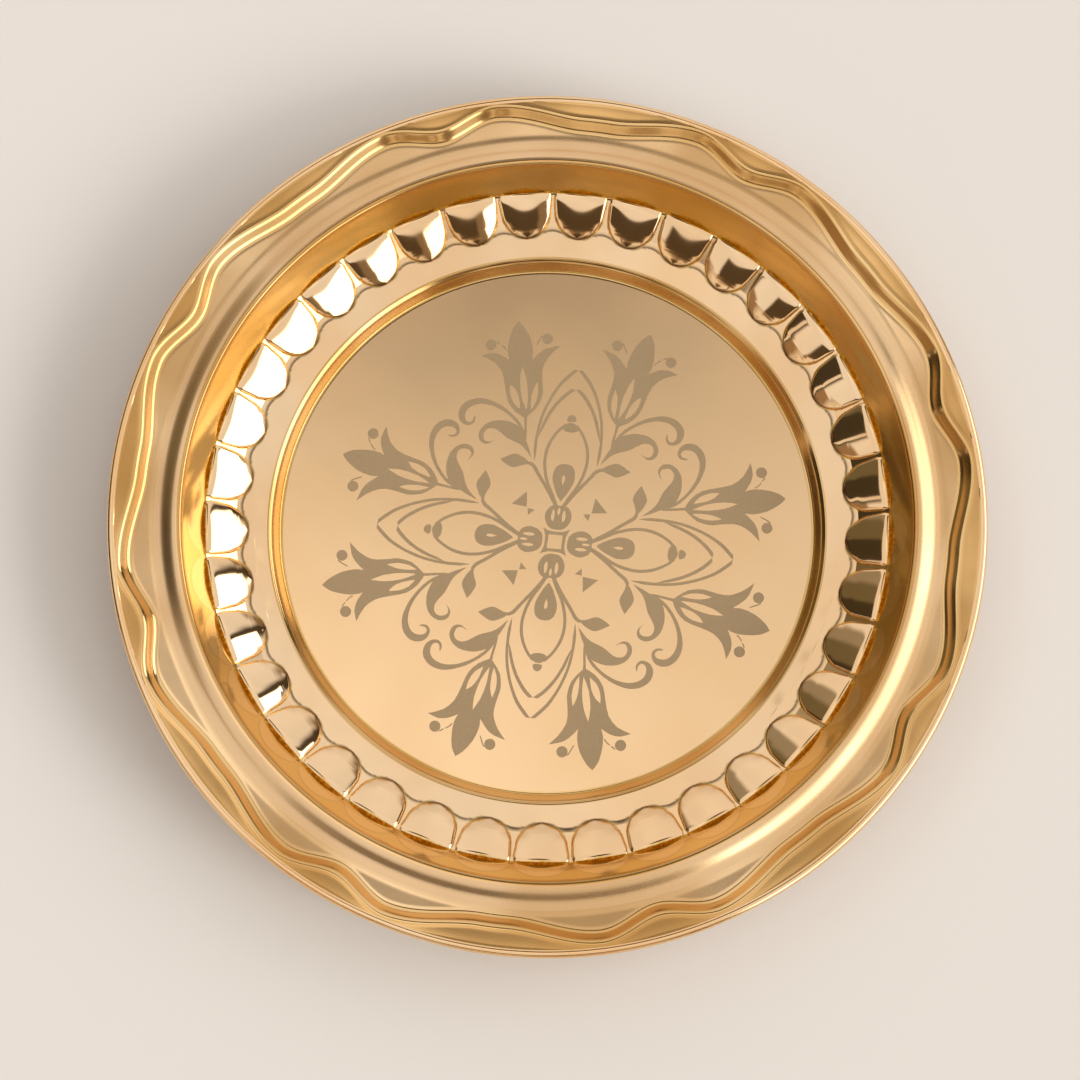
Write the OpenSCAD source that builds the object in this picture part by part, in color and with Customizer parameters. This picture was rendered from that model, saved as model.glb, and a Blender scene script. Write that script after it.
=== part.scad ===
// Round pressed brass plate with a fluted wall, a wavy stepped rim and an etched ornament.
// The plate lies flat: the underside of the centre disc is at z = 0, and +Z points up.
// The sheet is one pressing. Its section is swept round the plate, and its height follows the
// flutes and the wavy step, so the underside shows both of them as the real pressing does.

/* [Plate] */
// Outside diameter over the curled edge
plate_d = 280; // [276:1:290]
// Thickness of the brass sheet
sheet_t = 0.8; // [0.6:0.05:0.9]

/* [Centre] */
// Width of the ring step in plan
step_w = 3; // [2.6:0.1:3.4]
// Height of the ring step
step_h = 3.9; // [3:0.1:4.4]
// Width of the plain band between the ring step and the flutes
band_w = 5; // [4.4:0.1:5.6]
// Rise of the plain band
band_rise = 2.1; // [1.6:0.1:2.6]

/* [Flutes] */
// Number of flutes round the wall
flute_count = 37; // [31:1:41]
// Length of the flutes in plan, from their feet to the crease
flute_l = 14.8; // [14:0.1:15.4]
// Rise of the slope that carries the flutes
flute_rise = 8; // [7.2:0.1:8.8]
// Bulge of a flute over that slope
flute_bulge = 1.75; // [1.3:0.05:2.1]

/* [Wall and crest] */
// Width of the plain wall over the flutes in plan
wall_w = 6.4; // [5.8:0.1:7]
// Rise of the plain wall
wall_rise = 10.9; // [10:0.1:11.6]
// Width of the crest
crest_w = 3; // [2.6:0.1:3.4]
// Drop of the crest from the top of the wall to its outer edge
crest_drop = 0.1; // [0:0.05:0.3]

/* [Rim] */
// Width of the rim from its valley to the outside of the curled edge
rim_w = 15.6; // [15:0.1:16.4]
// Width of the slope from the crest down to the valley of the rim
valley_slope_w = 4.6; // [4:0.1:5.2]
// Drop from the crest's edge to the valley
valley_drop = 2.9; // [2.4:0.1:3.4]
// Rise of the rim from the valley out to the curled edge, without the wavy step
rim_rise = 1.6; // [1.2:0.1:2.2]

/* [Wavy step] */
// Number of double waves round the rim
wave_count = 8; // [6:1:10]
// Depth of the wave in plan, from trough to peak
wave_depth = 4.8; // [4:0.1:5.2]
// Width of the step in plan
wave_step_w = 3.6; // [3.2:0.1:4]
// Height of the step
wave_step_h = 2.6; // [2:0.1:3]
// Distance that the wave sits off the plate's centre
wave_offset = 0.6; // [0:0.1:1]
// Least distance from the wave's peaks to the curled edge
wave_edge_gap = 0.3; // [0.2:0.05:0.5]

/* [Curled edge] */
// Diameter of the wire in the curled edge
wire_d = 1.4; // [1.2:0.05:1.6]
// Clearance round the wire
wire_gap = 0.1; // [0.06:0.01:0.14]
// Height that the curled edge stands over the rim's surface
curl_proud = 0.25; // [0.2:0.01:0.32]

/* [Ornament] */
// Thickness of the etched layer
etch_t = 0.1; // [0.06:0.01:0.2]

/* [Hidden] */

brass = [0.86, 0.68, 0.38];
wire_steel = [0.62, 0.6, 0.56];
etched_brass = [0.6, 0.5, 0.34];

// Radii of the sheet's top side, from the valley of the rim inwards to the flat centre disc
valley_r = plate_d / 2 - rim_w;
crest_out_r = valley_r - valley_slope_w;
wall_top_r = crest_out_r - crest_w;
crease_r = wall_top_r - wall_w;
flute_foot_r = crease_r - flute_l;
ring_top_r = flute_foot_r - band_w;
disc_r = ring_top_r - step_w;
// Heights of the sheet's top side, from the centre outwards
ring_top_z = sheet_t + step_h;
flute_foot_z = ring_top_z + band_rise;
crease_z = flute_foot_z + flute_rise;
wall_top_z = crease_z + wall_rise;
crest_out_z = wall_top_z - crest_drop;
// Knee of the ring step, as shares of its width and height
knee_w_share = 0.667;
knee_h_share = 0.795;
knee_r = disc_r + knee_w_share * step_w;
knee_z = sheet_t + knee_h_share * step_h;
valley_z = crest_out_z - valley_drop;
flange_z = valley_z + rim_rise + wave_step_h;
// Between the flutes the plain band runs on to a fold, then nearly level to the foot of the groove
fold_share = 0.2;
groove_foot_share = 0.36;
groove_foot_rise_share = 0.26;
fold_r = flute_foot_r + fold_share * flute_l;
fold_z = flute_foot_z + (fold_r - flute_foot_r) * band_rise / band_w;
groove_foot_r = flute_foot_r + groove_foot_share * flute_l;
groove_foot_z = flute_foot_z + groove_foot_rise_share * flute_rise;

// Curled edge: the sheet rolls round the wire, from the groove at its inner side to its lip
curl_hollow_r = wire_d / 2 + wire_gap;
curl_r = curl_hollow_r + sheet_t;
curl_axis_r = plate_d / 2 - curl_r;
curl_axis_z = flange_z + curl_proud - curl_r;
groove_angle = 180 - asin(1 - curl_proud / curl_r);
tuck_angle = 180 - asin(1 - curl_proud / curl_hollow_r);
lip_angle = -172;
groove_r = curl_axis_r + curl_r * cos(groove_angle);

stations = [[disc_r, sheet_t], [knee_r, knee_z], [ring_top_r, ring_top_z], [fold_r, fold_z],
            [groove_foot_r, groove_foot_z], [crease_r, crease_z], [wall_top_r, wall_top_z],
            [crest_out_r, crest_out_z], [valley_r, valley_z], [groove_r, valley_z + rim_rise]];

// Turns of the flutes and of the wave about the plate's axis
flute_turn = 6.25;
wave_turn = 15.2;
wave_offset_turn = 128;

// Steps round the plate: six to a flute where the sheet has a pattern, three where it is plain.
// The first step lies on the middle of a flute
fine_n = 6 * flute_count;
plain_n = fine_n / 2;

// Blend from 0 to 1 with level ends
function blend(x) = x <= 0 ? 0 : x >= 1 ? 1 : x * x * (3 - 2 * x);

// Wave in plan: a narrow trough, a peak each side of it, then a wide trough to the next wave
wave_peak_share = 0.178;
wave_wide_share = 0.456;
function wave_half(d) = d < wave_peak_share ? blend(d / wave_peak_share)
    : 1 - blend((d - wave_peak_share) / (wave_wide_share - wave_peak_share));
function wave(a) = let (p = (a - wave_turn) * wave_count / 360) wave_half(abs(p - round(p)));
wave_foot_r = groove_r - wave_edge_gap - wave_offset - wave_depth - wave_step_w;
function wave_r(a) = wave_foot_r + wave_depth * wave(a) + wave_offset * cos(a - wave_offset_turn);

// Section of the wavy step, as shares of its width and height: it has a slight lip at its top
wave_section_shares = [[-0.3, 0], [-0.05, -0.06], [0.2, 0.1], [0.8, 0.94], [1, 1.08], [1.35, 1]];

// Shares of its length where a flute reaches its full width, stops swelling and begins to narrow,
// and how much it narrows; share of its height in the gentle crown; powers of its pointed foot,
// its steep sides and its outer end
arch_share = 0.55;
swell_share = 0.72;
narrow_from_share = 0.7;
narrow_share = 0.16;
crown_share = 0.55;
arch_power = 0.75;
side_power = 14;
end_power = 18;
// Half width of a flute as a share of its pitch, v being 0 at its foot and 1 at the crease
function flute_width(v) = pow(1 - pow(1 - min(v / arch_share, 1), 2), arch_power)
    * (1 - narrow_share * blend((v - narrow_from_share) / (1 - narrow_from_share)));
// Swell of a flute along its length
function flute_swell(v) = blend(v / swell_share) * sqrt(1 - pow(v, end_power));
// Height of a flute over the groove beside it; t is 0 along its middle and 1 at its sides
function flute(r, a) =
    let (v = (r - flute_foot_r) / flute_l,
         p = (a - flute_turn) * flute_count / 360,
         t = v <= 0 || v >= 1 ? 1 : 2 * abs(p - round(p)) / flute_width(v))
    t >= 1 ? 0
    : (flute_foot_z + v * flute_rise - lookup(r, stations) + flute_bulge * flute_swell(v))
      * (1 - crown_share * t * t - (1 - crown_share) * pow(t, side_power));

// Height of the sheet's top side
function top_z(r, a) = lookup(r, stations) + flute(r, a)
    + wave_step_h * lookup((r - wave_r(a)) / wave_step_w, wave_section_shares);
// Slope of the sheet outwards, taken over half a sheet's thickness each way
function slope_out(r, a) = (top_z(r + sheet_t / 2, a) - top_z(r - sheet_t / 2, a)) / sheet_t;
// Height of the underside, a sheet's thickness below the top side, square to it
function under_z(r, a) = top_z(r, a) - sheet_t * sqrt(1 + pow(slope_out(r, a), 2));
// Radius where the flat underside of the centre disc ends
under_foot_r = disc_r + sheet_t * tan(atan((knee_z - sheet_t) / (knee_r - disc_r)) / 2);
// Under a bend the two undersides meet off the bend's own radius, by these shares of the sheet
crease_bend_share = 0.74;
wall_top_bend_share = 0.56;
crest_bend_share = -0.3;
valley_bend_share = -0.23;
under_bends = [valley_r + valley_bend_share * sheet_t, crest_out_r + crest_bend_share * sheet_t,
               wall_top_r + wall_top_bend_share * sheet_t, crease_r + crease_bend_share * sheet_t];

// Rows of the section, in order round it: top side, curled edge, underside.
// Each row gives its kind, its place and its steps round the plate.
TOP = "top";
WAVE = "wave";
OUTSIDE = "outside";
HOLLOW = "hollow";
UNDER = "under";
UNDER_WAVE = "under wave";
FOOT = "foot";
flute_row_shares = [0.1, 0.24, 0.42, 0.68, 0.93];
flute_under_row_shares = [0.9, 0.5, 0.2];
wave_row_shares = [-0.05, 0.2, 0.8, 1];
wave_under_row_shares = [0.9, 0.17];
outside_angles = [groove_angle, 90, 42, 0, -56, -112, lip_angle];
hollow_angles = [lip_angle, -110, -49, 13, 75, tuck_angle];
function flute_rows(kind, shares) = [for (s = shares) [kind, flute_foot_r + s * flute_l, fine_n]];
rows = concat(
    [for (r = [disc_r, knee_r, ring_top_r, flute_foot_r]) [TOP, r, plain_n]],
    flute_rows(TOP, flute_row_shares),
    [for (r = [crease_r, wall_top_r, crest_out_r, valley_r]) [TOP, r, plain_n]],
    [for (s = wave_row_shares) [WAVE, s, fine_n]],
    [for (a = outside_angles) [OUTSIDE, a, plain_n]],
    [for (a = hollow_angles) [HOLLOW, a, plain_n]],
    [for (s = wave_under_row_shares) [UNDER_WAVE, s, fine_n]],
    [for (r = under_bends) [UNDER, r, plain_n]],
    flute_rows(UNDER, flute_under_row_shares),
    [for (r = [flute_foot_r, ring_top_r]) [UNDER, r, plain_n]],
    [[FOOT, under_foot_r, plain_n]]);

// The hollow's rows stand a little out, so that its flat stretches clear the wire
hollow_half_step = 31;
hollow_row_r = curl_hollow_r / cos(hollow_half_step);
function curl_point(radius, t) = [curl_axis_r + radius * cos(t), curl_axis_z + radius * sin(t)];
function section_point(q, a) =
    let (w = wave_r(a) + q[1] * wave_step_w)
    q[0] == TOP ? [q[1], top_z(q[1], a)]
    : q[0] == WAVE ? [w, top_z(w, a)]
    : q[0] == OUTSIDE ? curl_point(curl_r, q[1])
    : q[0] == HOLLOW ? curl_point(q[1] == tuck_angle ? curl_hollow_r : hollow_row_r, q[1])
    : q[0] == UNDER ? [q[1], under_z(q[1], a)]
    : q[0] == UNDER_WAVE ? [w, under_z(w, a)]
    : [q[1], 0];
function row_points(q) = [for (i = [0 : q[2] - 1])
    let (a = flute_turn + 360 * i / q[2], p = section_point(q, a))
    [p[0] * cos(a), p[0] * sin(a), p[1]]];

// Number of the first point of each row
function starts(k, n) = k == len(rows) ? [] : concat([n], starts(k + 1, n + rows[k][2]));
first = starts(0, 0);

// Triangles between a row and the next one; a fine row has two steps to each plain one
function between(j) =
    let (n = rows[j][2], m = rows[j + 1][2], p = first[j], q = first[j + 1])
    n == m ? [for (i = [0 : n - 1]) let (h = (i + 1) % n)
              each [[p + i, p + h, q + h], [p + i, q + h, q + i]]]
    : n < m ? [for (i = [0 : n - 1]) let (h = (i + 1) % n, c = q + 2 * i, e = q + (2 * i + 2) % m)
               each [[p + i, c + 1, c], [p + i, p + h, c + 1], [p + h, e, c + 1]]]
    : [for (i = [0 : m - 1]) let (h = (i + 1) % m, c = p + 2 * i, e = p + (2 * i + 2) % n)
       each [[q + i, c, c + 1], [q + i, c + 1, q + h], [q + h, c + 1, e]]];

module plate_sheet() {
    last = len(rows) - 1;
    disc_top = [for (i = [0 : plain_n - 1]) plain_n - 1 - i];
    disc_under = [for (i = [0 : plain_n - 1]) first[last] + i];
    color(brass) polyhedron(
        points = [for (q = rows) each row_points(q)],
        faces = concat([disc_top, disc_under], [for (j = [0 : last - 1]) each between(j)]));
}

module rim_wire() {
    color(wire_steel) rotate_extrude($fn = plain_n)
        translate([curl_axis_r, curl_axis_z]) circle(d = wire_d, $fn = 24);
}

// Etched ornament. One petal points along +Y before the turn, and a spray stands beside it.
// The tables are shares of the drawing size. A run goes smoothly from one sharp point to the next.
ornament_turn = -6.9;
ornament_size_share = 1.1416;
ornament_size = ornament_size_share * disc_r;
ornament_x_share = 0.025;
ornament_y_share = -0.048;
// The drawing is stretched a little along its diagonal
skew_share = 0.017;
curve_steps = 2;

star_side_shares = [[0.044, 0.044], [0.019, 0.034], [-0.019, 0.034], [-0.044, 0.044]];
star_window_share = 0.0235;

knot_shares = [[0, 0.041], [0.018, 0.043], [0.034, 0.056], [0.0435, 0.08], [0.041, 0.1],
               [0.03, 0.116], [0.014, 0.123], [0, 0.121]];
knot_slot_shares = [[0.017, 0.067], [0.0225, 0.076], [0.0235, 0.09], [0.019, 0.108],
                    [0.0135, 0.1], [0.012, 0.088], [0.013, 0.075], [0.017, 0.067]];
knot_middle_shares = [[0, 0.088], [0.004, 0.097], [0.004, 0.109], [0, 0.116]];

petal_out_shares = [[0.103, 0.262], [0.111, 0.3], [0.1115, 0.34], [0.1085, 0.385], [0.1015, 0.425],
                    [0.0895, 0.465], [0.0745, 0.502], [0.0545, 0.54], [0.03, 0.57], [0, 0.6]];
petal_in_shares = [[0, 0.586], [0.022, 0.562], [0.0455, 0.534], [0.0655, 0.499], [0.0805, 0.463],
                   [0.0925, 0.423], [0.0995, 0.384], [0.1025, 0.34], [0.1015, 0.3], [0.103, 0.262]];
petal_line_out_shares = [[0.103, 0.346], [0.0975, 0.38], [0.0905, 0.405], [0.08, 0.432],
                         [0.066, 0.459], [0.049, 0.485], [0.028, 0.509], [0, 0.532]];
petal_line_in_shares = [[0, 0.518], [0.022, 0.499], [0.041, 0.477], [0.058, 0.452], [0.0715, 0.426],
                        [0.082, 0.4], [0.0895, 0.377], [0.103, 0.346]];
collar_shares = [[0, 0.372], [0.011, 0.373], [0.022, 0.377], [0.027, 0.386], [0.014, 0.401],
                 [0, 0.405]];
ball_shares = [[0, 0.408], [0.012, 0.409], [0.0155, 0.416], [0.01, 0.428], [0, 0.432]];

seed_shares = [[0, 0.137], [0.012, 0.153], [0.024, 0.176], [0.034, 0.202], [0.0365, 0.224],
               [0.031, 0.247], [0.018, 0.26], [0, 0.264]];
seed_slit_shares = [[0, 0.19], [0.004, 0.203], [0.0055, 0.214], [0.003, 0.223], [0, 0.226]];

leaf_shares = [[[0.112, 0.25], [0.13, 0.266], [0.15, 0.277], [0.168, 0.282], [0.186, 0.276],
                [0.216, 0.258]],
               [[0.216, 0.258], [0.196, 0.245], [0.171, 0.235], [0.15, 0.242], [0.132, 0.249],
                [0.112, 0.25]]];

comma_shares = [[[0.114, 0.273], [0.128, 0.306], [0.143, 0.335], [0.152, 0.356], [0.166, 0.374],
                 [0.205, 0.388], [0.235, 0.389], [0.262, 0.383], [0.285, 0.367], [0.298, 0.342],
                 [0.294, 0.319], [0.28, 0.307], [0.262, 0.307], [0.242, 0.323]],
                [[0.242, 0.323], [0.258, 0.314], [0.272, 0.314], [0.281, 0.325], [0.282, 0.343],
                 [0.271, 0.357], [0.25, 0.36], [0.228, 0.349], [0.203, 0.332], [0.17, 0.32],
                 [0.148, 0.308], [0.13, 0.29], [0.114, 0.273]]];

tulip_shares = [[[0.153, 0.406], [0.141, 0.419], [0.116, 0.454], [0.108, 0.498], [0.112, 0.523],
                 [0.1195, 0.57], [0.115, 0.6], [0.097, 0.634], [0.07, 0.665]],
                [[0.07, 0.665], [0.11, 0.653], [0.134, 0.636], [0.159, 0.605]],
                [[0.159, 0.605], [0.159, 0.635], [0.173, 0.678], [0.2, 0.716], [0.222, 0.733]],
                [[0.222, 0.733], [0.238, 0.703], [0.244, 0.655], [0.241, 0.62], [0.232, 0.597]],
                [[0.232, 0.597], [0.262, 0.612], [0.295, 0.616], [0.329, 0.604]],
                [[0.329, 0.604], [0.282, 0.586], [0.25, 0.552], [0.234, 0.505], [0.219, 0.458],
                 [0.19, 0.425], [0.153, 0.406]]];
tulip_slit_shares = [
    [[[0.139, 0.434], [0.126, 0.462], [0.123, 0.5], [0.131, 0.534]],
     [[0.131, 0.534], [0.141, 0.505], [0.143, 0.465], [0.139, 0.434]]],
    [[[0.153, 0.433], [0.155, 0.485], [0.168, 0.54], [0.188, 0.579]],
     [[0.188, 0.579], [0.189, 0.535], [0.176, 0.478], [0.153, 0.433]]],
    [[[0.173, 0.434], [0.184, 0.474], [0.202, 0.503], [0.219, 0.515]],
     [[0.219, 0.515], [0.214, 0.483], [0.198, 0.453], [0.173, 0.434]]]];

// Lines: places along the line, and its width there as the third share
oval_line_shares = [[0.01, 0.122, 0.006], [0.03, 0.158, 0.009], [0.048, 0.189, 0.01],
                    [0.0615, 0.225, 0.01], [0.069, 0.262, 0.01], [0.069, 0.295, 0.01],
                    [0.063, 0.325, 0.01], [0.051, 0.353, 0.009], [0.036, 0.377, 0.009],
                    [0.018, 0.396, 0.009]];
stem_line_shares = [[0.016, 0.12, 0.006], [0.036, 0.155, 0.01], [0.054, 0.181, 0.011],
                    [0.071, 0.203, 0.011], [0.088, 0.226, 0.011], [0.103, 0.247, 0.012],
                    [0.12, 0.256, 0.01]];
stalk_line_shares = [[0.143, 0.334, 0.006], [0.145, 0.352, 0.008], [0.148, 0.375, 0.008],
                     [0.151, 0.395, 0.008], [0.153, 0.412, 0.01]];
hook_line_shares = [[0.148, 0.345, 0.006], [0.162, 0.372, 0.009], [0.18, 0.393, 0.01],
                    [0.205, 0.414, 0.01], [0.235, 0.432, 0.012], [0.265, 0.4435, 0.014],
                    [0.295, 0.449, 0.018], [0.322, 0.446, 0.021], [0.345, 0.435, 0.023],
                    [0.36, 0.417, 0.024], [0.3635, 0.397, 0.023], [0.358, 0.379, 0.018],
                    [0.345, 0.369, 0.012], [0.332, 0.368, 0.01], [0.322, 0.377, 0.008],
                    [0.32, 0.389, 0.006], [0.321, 0.398, 0.002]];
thread_line_shares = [[[0.134, 0.694, 0.004], [0.14, 0.686, 0.004], [0.147, 0.67, 0.004],
                       [0.152, 0.659, 0.003]],
                      [[0.247, 0.629, 0.004], [0.256, 0.64, 0.004], [0.267, 0.647, 0.003]],
                      [[0.272, 0.65, 0.004], [0.285, 0.658, 0.004]]];
berry_place_shares = [[0.117, 0.684], [0.301, 0.644]];
berry_r_share = 0.018;

triangle_shares = [[[0.113, 0.158], [0.158, 0.113], [0.107, 0.107]],
                   [[0.103, 0.103], [0.08, 0.1], [0.1, 0.08]]];

// Smooth curve through a run of points, without its last point
function curve_point(p, i, t) =
    let (b = p[i], c = p[i + 1],
         a = i == 0 ? 2 * b - c : p[i - 1],
         d = i + 2 == len(p) ? 2 * c - b : p[i + 2])
    (2 * b + (c - a) * t + (2 * a - 5 * b + 4 * c - d) * t * t
     + (3 * b - a - 3 * c + d) * t * t * t) / 2;
function curve(p) = [for (i = [0 : len(p) - 2], s = [0 : curve_steps - 1])
                     curve_point(p, i, s / curve_steps)];
function flat(p) = [p[0], p[1]];
function mirrored(run) = [for (p = run) [-p[0], p[1]]];
function backwards(run) = [for (i = [len(run) - 1 : -1 : 0]) run[i]];
// Outline from a list of runs, from a run and its mirror image, and from a line with its widths
function outline(runs) = [for (run = runs) each curve(run)];
function twin_outline(run) = outline([run, backwards(mirrored(run))]);
function line_outline(table) =
    let (path = concat(curve(table), [table[len(table) - 1]]), n = len(path),
         side = [for (i = [0 : n - 1])
                 let (d = flat(path[min(i + 1, n - 1)]) - flat(path[max(i - 1, 0)]))
                 [-d[1], d[0]] * path[i][2] / (2 * norm(d))])
    concat([for (i = [0 : n - 1]) flat(path[i]) + side[i]],
           [for (i = [n - 1 : -1 : 0]) flat(path[i]) - side[i]]);

// Place of a point of the drawing on the plate, for one of four quarters, mirrored or not
function lay(p, quarter, hand) =
    let (x = hand * p[0], a = 90 * quarter,
         u = x * cos(a) - p[1] * sin(a), v = x * sin(a) + p[1] * cos(a),
         s = u + skew_share * v, t = v + skew_share * u)
    ornament_size * [s * cos(ornament_turn) - t * sin(ornament_turn) + ornament_x_share,
                     s * sin(ornament_turn) + t * cos(ornament_turn) + ornament_y_share];
module laid(points, quarter, hand) polygon([for (p = points) lay(p, quarter, hand)]);
module etched_layer() color(etched_brass) translate([0, 0, sheet_t]) linear_extrude(height = etch_t)
    children();

module etched_centre_star() {
    sides = [for (q = [0 : 3], p = curve(star_side_shares))
             [p[0] * cos(90 * q) - p[1] * sin(90 * q), p[0] * sin(90 * q) + p[1] * cos(90 * q)]];
    w = star_window_share;
    etched_layer() difference() {
        laid(sides, 0, 1);
        laid([[w, w], [-w, w], [-w, -w], [w, -w]], 0, 1);
    }
}

module etched_petals() {
    etched_layer() for (q = [0 : 3]) {
        difference() {
            laid(twin_outline(knot_shares), q, 1);
            laid(twin_outline(knot_middle_shares), q, 1);
            for (hand = [1, -1]) laid(outline([knot_slot_shares]), q, hand);
        }
        laid(twin_outline(collar_shares), q, 1);
        laid(twin_outline(ball_shares), q, 1);
        for (hand = [1, -1]) {
            laid(outline([petal_out_shares, petal_in_shares]), q, hand);
            laid(outline([petal_line_out_shares, petal_line_in_shares]), q, hand);
            laid(line_outline(oval_line_shares), q, hand);
            laid(line_outline(stem_line_shares), q, hand);
            laid(outline(leaf_shares), q, hand);
        }
    }
}

module etched_seeds() {
    etched_layer() for (q = [0 : 3]) difference() {
        laid(twin_outline(seed_shares), q, 1);
        laid(twin_outline(seed_slit_shares), q, 1);
    }
}

module etched_tulip_sprays() {
    etched_layer() for (q = [0 : 3], hand = [1, -1]) {
        difference() {
            laid(outline(tulip_shares), q, hand);
            for (slit = tulip_slit_shares) laid(outline(slit), q, hand);
        }
        laid(line_outline(stalk_line_shares), q, hand);
        laid(outline(comma_shares), q, hand);
        laid(line_outline(hook_line_shares), q, hand);
    }
}

module etched_berries() {
    etched_layer() for (q = [0 : 3], hand = [1, -1]) {
        for (place = berry_place_shares)
            translate(lay(place, q, hand)) circle(r = berry_r_share * ornament_size, $fn = 24);
        for (thread = thread_line_shares) laid(line_outline(thread), q, hand);
    }
}

module etched_triangles() {
    etched_layer() for (q = [0 : 3], triangle = triangle_shares) laid(triangle, q, 1);
}

plate_sheet();
rim_wire();
etched_centre_star();
etched_petals();
etched_seeds();
etched_tulip_sprays();
etched_berries();
etched_triangles();
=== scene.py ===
"""Looks of a round pressed brass thali plate: camera, light, floor, materials and finely shaped sheet."""

import math

import bpy
import numpy as np
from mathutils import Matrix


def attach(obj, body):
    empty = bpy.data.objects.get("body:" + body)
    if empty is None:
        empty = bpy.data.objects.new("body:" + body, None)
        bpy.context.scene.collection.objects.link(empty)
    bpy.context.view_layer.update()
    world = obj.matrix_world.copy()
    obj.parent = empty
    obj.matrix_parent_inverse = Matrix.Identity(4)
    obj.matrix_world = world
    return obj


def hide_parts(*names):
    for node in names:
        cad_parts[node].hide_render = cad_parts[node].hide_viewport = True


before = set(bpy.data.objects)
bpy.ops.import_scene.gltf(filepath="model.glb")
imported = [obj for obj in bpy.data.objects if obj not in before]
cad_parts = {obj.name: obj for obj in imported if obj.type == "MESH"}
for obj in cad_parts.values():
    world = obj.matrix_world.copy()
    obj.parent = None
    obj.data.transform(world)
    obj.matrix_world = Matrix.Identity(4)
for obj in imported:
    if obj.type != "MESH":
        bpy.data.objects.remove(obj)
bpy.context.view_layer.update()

MM = 0.001

# Sizes of the sheet in millimetres and degrees, the same as in the part's source
PLATE_D = 280.0
SHEET_T = 0.8
STEP_W, STEP_H = 3.0, 3.9
BAND_W, BAND_RISE = 5.0, 2.1
FLUTE_COUNT, FLUTE_TURN = 37, 6.25
FLUTE_L, FLUTE_RISE = 14.8, 8.0
WALL_W, WALL_RISE = 6.4, 10.9
CREST_W, CREST_DROP = 3.0, 0.1
RIM_W, RIM_RISE = 15.6, 1.6
VALLEY_SLOPE_W, VALLEY_DROP = 4.6, 2.9
WAVE_COUNT, WAVE_TURN, WAVE_DEPTH = 8, 15.2, 4.8
WAVE_PEAK_SHARE, WAVE_WIDE_SHARE = 0.178, 0.456
WAVE_STEP_W, WAVE_STEP_H = 3.6, 2.6
WAVE_SECTION_SHARES = [(-0.3, 0.0), (-0.05, -0.06), (0.2, 0.1), (0.8, 0.94), (1.0, 1.08), (1.35, 1.0)]
WAVE_OFFSET, WAVE_OFFSET_TURN = 0.6, 128.0
WAVE_EDGE_GAP = 0.3
WIRE_D, WIRE_GAP, CURL_PROUD = 1.4, 0.1, 0.25
LIP_ANGLE = -172.0

# Bends of the floor between the flutes. The knee of the ring step is this far in and down from the
# ring's top, and the foot of the grooves this far out and up from the flutes' feet. The fold at the
# flutes' tips is at a share of their length
KNEE_IN, KNEE_DOWN = 1.0, 0.8
GROOVE_FOOT_OUT, GROOVE_FOOT_UP = 5.33, 2.08
FOLD_SHARE = 0.2

# The flutes are a little fuller than in the solid. Shares are of their length or of half their pitch
FLUTE_BULGE = 2.05
TIP_SHARE = 0.1
ARCH_SHARE, ARCH_POWER = 0.58, 0.55
TAPER_SHARE, FULL_SHARE = 0.14, 0.985
NARROW_FROM_SHARE, NARROW_SHARE = 0.85, 0.06
CROWN_SHARE, SIDE_POWER = 0.58, 60.0
END_POWER, END_ROUND = 18.0, 0.5

# Fine forms that the solid leaves out: waviness of the plain band and a line on the ring step
SCALLOP_H = 0.11
SCALLOP_FROM, SCALLOP_GROWS = 0.8, 5.0
SCALLOP_TO, SCALLOP_FADES = 2.5, 3.0
RING_LIP_H, RING_LIP_OUT, RING_LIP_HALF = 0.09, 0.2, 0.22

VALLEY_R = PLATE_D / 2 - RIM_W
CREST_OUT_R = VALLEY_R - VALLEY_SLOPE_W
WALL_TOP_R = CREST_OUT_R - CREST_W
CREASE_R = WALL_TOP_R - WALL_W
FLUTE_FOOT_R = CREASE_R - FLUTE_L
RING_TOP_R = FLUTE_FOOT_R - BAND_W
DISC_R = RING_TOP_R - STEP_W
KNEE_R = RING_TOP_R - KNEE_IN
FOLD_R = FLUTE_FOOT_R + FOLD_SHARE * FLUTE_L
GROOVE_FOOT_R = FLUTE_FOOT_R + GROOVE_FOOT_OUT

RING_TOP_Z = SHEET_T + STEP_H
FLUTE_FOOT_Z = RING_TOP_Z + BAND_RISE
CREASE_Z = FLUTE_FOOT_Z + FLUTE_RISE
WALL_TOP_Z = CREASE_Z + WALL_RISE
CREST_OUT_Z = WALL_TOP_Z - CREST_DROP
VALLEY_Z = CREST_OUT_Z - VALLEY_DROP
FLANGE_Z = VALLEY_Z + RIM_RISE + WAVE_STEP_H
KNEE_Z = RING_TOP_Z - KNEE_DOWN
FOLD_Z = FLUTE_FOOT_Z + BAND_RISE * (FOLD_R - FLUTE_FOOT_R) / BAND_W
GROOVE_FOOT_Z = FLUTE_FOOT_Z + GROOVE_FOOT_UP

# The solid's outline has flat sides, and the fine sheet stays inside them by this gap
FLAT_GAP = 0.042
CURL_HOLLOW_R = WIRE_D / 2 + WIRE_GAP
CURL_R = CURL_HOLLOW_R + SHEET_T
CURL_AXIS_R = PLATE_D / 2 - CURL_R - FLAT_GAP
CURL_AXIS_Z = FLANGE_Z + CURL_PROUD - CURL_R
EDGE_ANGLE = 180 - math.degrees(math.asin(1 - CURL_PROUD / CURL_R))
TUCK_ANGLE = 180 - math.degrees(math.asin(1 - CURL_PROUD / CURL_HOLLOW_R))
EDGE_R = CURL_AXIS_R + CURL_R * math.cos(math.radians(EDGE_ANGLE))
WAVE_FOOT_R = EDGE_R - WAVE_EDGE_GAP - WAVE_OFFSET - WAVE_DEPTH - WAVE_STEP_W
UNDER_FOOT_R = DISC_R + SHEET_T * math.tan(math.atan((KNEE_Z - SHEET_T) / (KNEE_R - DISC_R)) / 2)

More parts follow.
